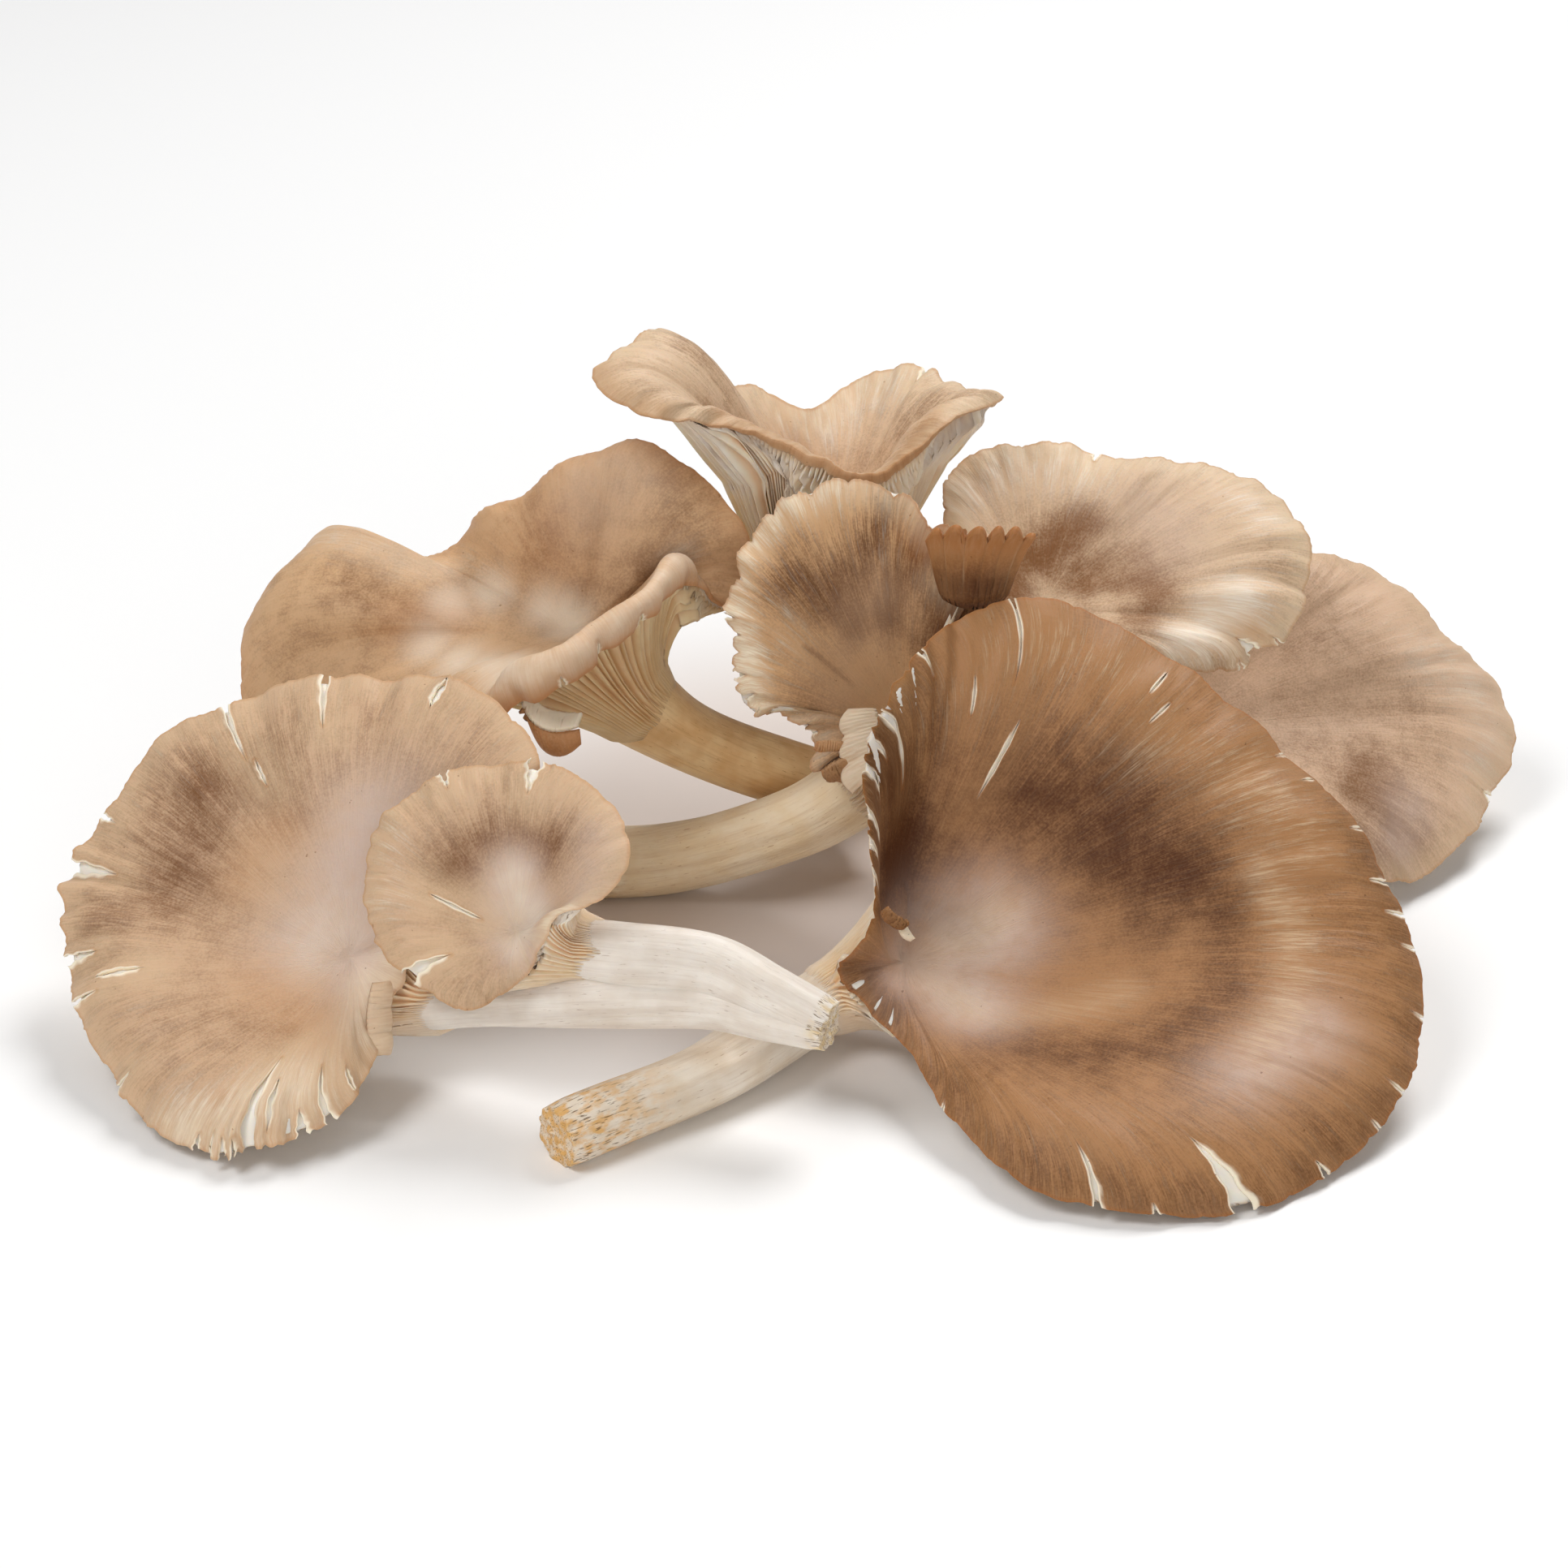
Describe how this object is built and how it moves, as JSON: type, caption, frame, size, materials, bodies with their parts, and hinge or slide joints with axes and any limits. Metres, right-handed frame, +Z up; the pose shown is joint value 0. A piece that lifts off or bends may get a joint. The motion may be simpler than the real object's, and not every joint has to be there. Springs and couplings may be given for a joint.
{
  "type": "oyster mushroom cluster",
  "caption": "Lying cluster of picked oyster mushrooms: fan-shaped caps with folded, split rims over crowded gills and short curved stems.",
  "frame": {"origin": "centre of the bounding box's underside, on the surface that the cluster lies on", "axes": "+X along the cluster's longest side, +Z up, +Y from the fronts of the caps to the back"},
  "size_m": [0.2531, 0.1586, 0.0952],
  "materials": {
    "brown_skin": "matt brown cap skin with fine radial fibres",
    "tan_skin": "matt tan cap skin with fine radial fibres and mottling",
    "pale_skin": "matt pale tan cap skin with fine radial fibres",
    "gills_and_stems": "cream flesh, soft and matt, with a faint waxy glow"
  },
  "bodies": {
    "root": {"cap_front_right": "brown_skin", "cap_front_left": "tan_skin", "cap_small": "tan_skin", "cap_back_left": "pale_skin", "cap_top": "pale_skin", "cap_centre": "pale_skin", "cap_right_back": "pale_skin", "cap_far_right": "tan_skin", "stem_front_right": "gills_and_stems", "stem_back_left": "gills_and_stems", "stem_top": "gills_and_stems", "stem_centre": "gills_and_stems", "stem_right_back": "gills_and_stems", "stem_far_right": "gills_and_stems", "stems_joined_pair": "gills_and_stems"}
  },
  "joints": []
}
